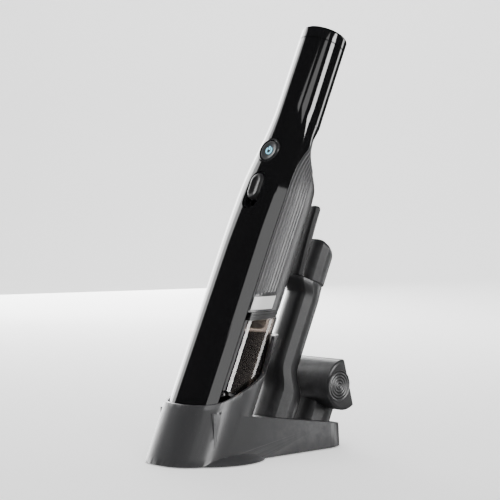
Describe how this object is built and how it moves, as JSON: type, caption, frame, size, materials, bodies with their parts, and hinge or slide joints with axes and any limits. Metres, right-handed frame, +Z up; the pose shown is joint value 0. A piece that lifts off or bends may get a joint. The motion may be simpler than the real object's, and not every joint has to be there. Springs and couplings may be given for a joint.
{
  "type": "hand vacuum with charging dock",
  "caption": "Slim cordless hand vacuum with a clear dust cup, leaning in a charging dock whose tray carries a crevice tool with a sliding brush and a wide pet tool.",
  "frame": {"origin": "on the table, under the middle of the whole object's box", "axes": "+Z up, -Y towards the vacuum's front, +X towards the object's own left as seen from the front, the side with the label"},
  "size_m": [0.0976, 0.2203, 0.3798],
  "materials": {
    "gloss_black": "high gloss black",
    "satin_grey": "satin dark grey with moulded ribs",
    "smoke_clear": "smoked clear plastic, polished",
    "matte_black": "fine matte black",
    "dock_grey": "satin charcoal grey",
    "tool_grey": "semi-matte charcoal",
    "rubber": "soft matte rubber",
    "white_label": "blank white film",
    "light_blue": "translucent light guide",
    "steel": "plain steel",
    "brass": "plated spring contact",
    "board_green": "solder mask",
    "cell_wrap": "heat-shrink wrap",
    "filter_foam": "pleated filter paper",
    "bristle": "dense short bristle",
    "seal_grey": "ribbed soft seal"
  },
  "bodies": {
    "dock": {"dock_shell": "dock_grey", "dock_base_plate": "matte_black", "dock_foot_1": "rubber", "dock_foot_2": "rubber", "dock_foot_3": "rubber", "dock_foot_4": "rubber", "dock_contact_left": "brass", "dock_contact_right": "brass", "charging_board": "board_green", "power_socket": "matte_black"},
    "dust_cup": {"dust_cup": "smoke_clear", "door_hinge_pin": "steel"},
    "cup_door": {"cup_door": "matte_black", "door_seal": "rubber"},
    "inlet_flap": {"inlet_flap": "rubber"},
    "main_body": {"front_housing": "gloss_black", "rear_shell": "satin_grey", "rear_cover": "satin_grey", "handle_end_cap": "gloss_black", "joint_collar": "matte_black", "label_plate": "white_label", "power_bezel": "gloss_black", "slider_track": "gloss_black", "control_board": "board_green", "button_switch": "matte_black", "side_strip_left": "seal_grey", "side_strip_right": "seal_grey", "inlet_duct": "matte_black", "motor_case": "matte_black", "motor_seal": "rubber", "motor": "steel", "filter_plate": "matte_black", "pleated_filter": "filter_foam", "battery_cradle": "matte_black", "battery_cell_1": "cell_wrap", "battery_cell_2": "cell_wrap"},
    "power_button": {"power_button": "matte_black", "power_light_guide": "light_blue"},
    "eject_slider": {"eject_slider": "matte_black", "eject_rod": "steel"},
    "cup_release_latch": {"cup_release_latch": "matte_black"},
    "fan_rotor": {"fan_rotor": "tool_grey"},
    "crevice_tool": {"crevice_tool": "tool_grey"},
    "brush_slide": {"brush_slide": "tool_grey", "duster_bristles": "bristle"},
    "pet_tool": {"pet_tool_head": "tool_grey", "pet_hub_cap_left": "tool_grey", "pet_hub_cap_right": "tool_grey"},
    "pet_brush_bar": {"pet_brush_bar": "matte_black", "pet_bristles_1": "bristle", "pet_bristles_2": "bristle"}
  },
  "joints": [
    {"name": "vacuum_lift", "type": "slide", "parent": "dock", "child": "dust_cup", "axis": [0, 0.4163, 0.9092], "range_m": [0, 0.145]},
    {"name": "body_off_cup", "type": "slide", "parent": "dust_cup", "child": "main_body", "axis": [0, 0.4163, 0.9092], "range_m": [0, 0.08]},
    {"name": "cup_door_hinge", "type": "hinge", "parent": "dust_cup", "child": "cup_door", "pos_m": [0, -0.0609, 0.05864], "axis": [-1, 0, 0], "range_deg": [0, 75]},
    {"name": "inlet_flap_hinge", "type": "hinge", "parent": "dust_cup", "child": "inlet_flap", "pos_m": [0, -0.0368, 0.10743], "axis": [1, 0, 0], "range_deg": [0, 55], "stiffness_Nm_per_rad": 0.0006, "springref_deg": -17.19},
    {"name": "power_button_press", "type": "slide", "parent": "main_body", "child": "power_button", "axis": [0, 0.9092, -0.4163], "range_m": [0, 0.0012], "stiffness_N_per_m": 800, "springref_m": -0.001},
    {"name": "eject_slider_travel", "type": "slide", "parent": "main_body", "child": "eject_slider", "axis": [0, -0.4163, -0.9092], "range_m": [0, 0.008], "stiffness_N_per_m": 200, "springref_m": -0.004},
    {"name": "cup_latch_press", "type": "slide", "parent": "main_body", "child": "cup_release_latch", "axis": [0, -0.9092, 0.4163], "range_m": [0, 0.0018], "stiffness_N_per_m": 800, "springref_m": -0.001},
    {"name": "fan_spin", "type": "hinge", "parent": "main_body", "child": "fan_rotor", "pos_m": [0, 0.00815, 0.17704], "axis": [0, 0.4163, 0.9092], "continuous": true},
    {"name": "crevice_tool_lift", "type": "slide", "parent": "dock", "child": "crevice_tool", "axis": [0, 0.4163, 0.9092], "range_m": [0, 0.055]},
    {"name": "brush_slide_travel", "type": "slide", "parent": "crevice_tool", "child": "brush_slide", "axis": [0, 0.4163, 0.9092], "range_m": [0, 0.02]},
    {"name": "pet_tool_lift", "type": "slide", "parent": "dock", "child": "pet_tool", "axis": [0, 0.4163, 0.9092], "range_m": [0, 0.05]},
    {"name": "pet_brush_rock", "type": "hinge", "parent": "pet_tool", "child": "pet_brush_bar", "pos_m": [0, 0.0816, 0.056], "axis": [1, 0, 0], "range_deg": [-12, 12]}
  ]
}
